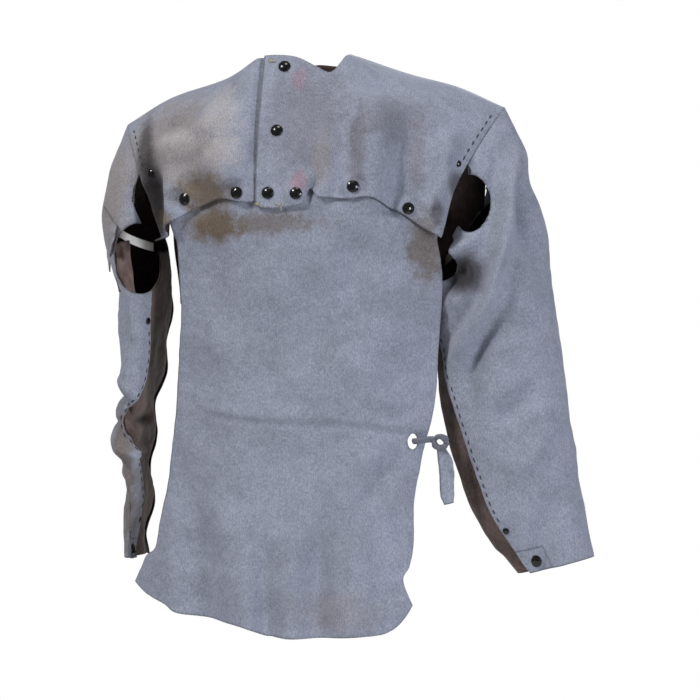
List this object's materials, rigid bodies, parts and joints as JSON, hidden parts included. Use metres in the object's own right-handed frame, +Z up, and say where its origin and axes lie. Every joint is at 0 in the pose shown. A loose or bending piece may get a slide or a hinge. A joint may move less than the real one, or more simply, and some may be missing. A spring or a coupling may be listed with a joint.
{
  "type": "leather welding cape sleeves with bib",
  "caption": "Suede leather welding cape with long sleeves open under the arms, a snapped placket, snapped cuffs and a bib snapped to its front edge and tied at the waist, as worn.",
  "frame": {"origin": "on the ridge of the shoulders, in the middle of the neck hole", "axes": "+Z up, the front faces -Y, +X is the wearer's left"},
  "size_m": [0.5921, 0.2208, 0.6997],
  "materials": {
    "suede": "napped split cowhide, blue grey, worn and stained",
    "suede_flesh_side": "rough flesh side, brown, in shade",
    "black_enamel": "glossy black enamel",
    "dark_steel": "blackened steel",
    "elastic": "woven off-white elastic"
  },
  "bodies": {
    "cape": {"right_front": "suede", "left_front": "suede", "cape_back": "suede", "left_armhole_rivet_front": "black_enamel", "left_armhole_rivet_back": "black_enamel", "right_armhole_rivet_front": "black_enamel", "right_armhole_rivet_back": "black_enamel", "bib_snap_strip": "suede", "placket_top_snap_stud": "dark_steel", "placket_middle_snap_stud": "dark_steel", "hem_snap_1_cap": "black_enamel", "hem_snap_1_stud": "dark_steel", "hem_snap_2_cap": "black_enamel", "hem_snap_2_stud": "dark_steel", "hem_snap_3_stud": "dark_steel", "hem_snap_4_stud": "dark_steel", "hem_snap_5_cap": "black_enamel", "hem_snap_5_stud": "dark_steel", "hem_snap_6_cap": "black_enamel", "hem_snap_6_stud": "dark_steel"},
    "placket": {"placket_flap": "suede", "placket_top_snap_cap": "black_enamel", "placket_middle_snap_cap": "black_enamel", "hem_snap_3_cap": "black_enamel", "hem_snap_4_cap": "black_enamel"},
    "bib": {"bib_panel": "suede", "waist_tie_knot": "suede"},
    "waist_tie": {"waist_tie_tail": "suede"},
    "left_sleeve": {"left_sleeve_upper": "suede", "left_sleeve_under": "suede_flesh_side", "left_seam_rivet_1": "black_enamel", "left_seam_rivet_2": "black_enamel", "left_cuff_snap_stud": "dark_steel", "left_underarm_elastic": "elastic"},
    "left_cuff": {"left_cuff_flap": "suede", "left_cuff_snap_cap": "black_enamel"},
    "right_sleeve": {"right_sleeve_upper": "suede", "right_sleeve_under": "suede_flesh_side", "right_seam_rivet_1": "black_enamel", "right_seam_rivet_2": "black_enamel", "right_cuff_snap_stud": "dark_steel", "right_underarm_elastic": "elastic"},
    "right_cuff": {"right_cuff_flap": "suede", "right_cuff_snap_cap": "black_enamel"}
  },
  "joints": [
    {"name": "left_sleeve_swing", "type": "hinge", "parent": "cape", "child": "left_sleeve", "pos_m": [0.2474, 0, -0.0525], "axis": [0, -1, 0], "range_deg": [0, 50]},
    {"name": "right_sleeve_swing", "type": "hinge", "parent": "cape", "child": "right_sleeve", "pos_m": [-0.2234, 0, -0.071], "axis": [0, 1, 0], "range_deg": [0, 50]},
    {"name": "placket_opens", "type": "hinge", "parent": "cape", "child": "placket", "pos_m": [0.0276, -0.105, -0.084], "axis": [0, 0.3145, 0.9493], "range_deg": [0, 110]},
    {"name": "bib_swings", "type": "hinge", "parent": "cape", "child": "bib", "pos_m": [0, -0.127, -0.1785], "axis": [-1, 0, 0], "range_deg": [0, 40]},
    {"name": "waist_tie_swings", "type": "hinge", "parent": "bib", "child": "waist_tie", "pos_m": [0.175, -0.0655, -0.456], "axis": [-1, 0, 0], "range_deg": [0, 50]},
    {"name": "left_cuff_opens", "type": "hinge", "parent": "left_sleeve", "child": "left_cuff", "pos_m": [0.3059, -0.0492, -0.5981], "axis": [-0.4348, -0.1032, 0.8946], "range_deg": [0, 90]},
    {"name": "right_cuff_opens", "type": "hinge", "parent": "right_sleeve", "child": "right_cuff", "pos_m": [-0.2052, -0.0389, -0.5959], "axis": [-0.065, 0.207, -0.9762], "range_deg": [0, 90]}
  ]
}
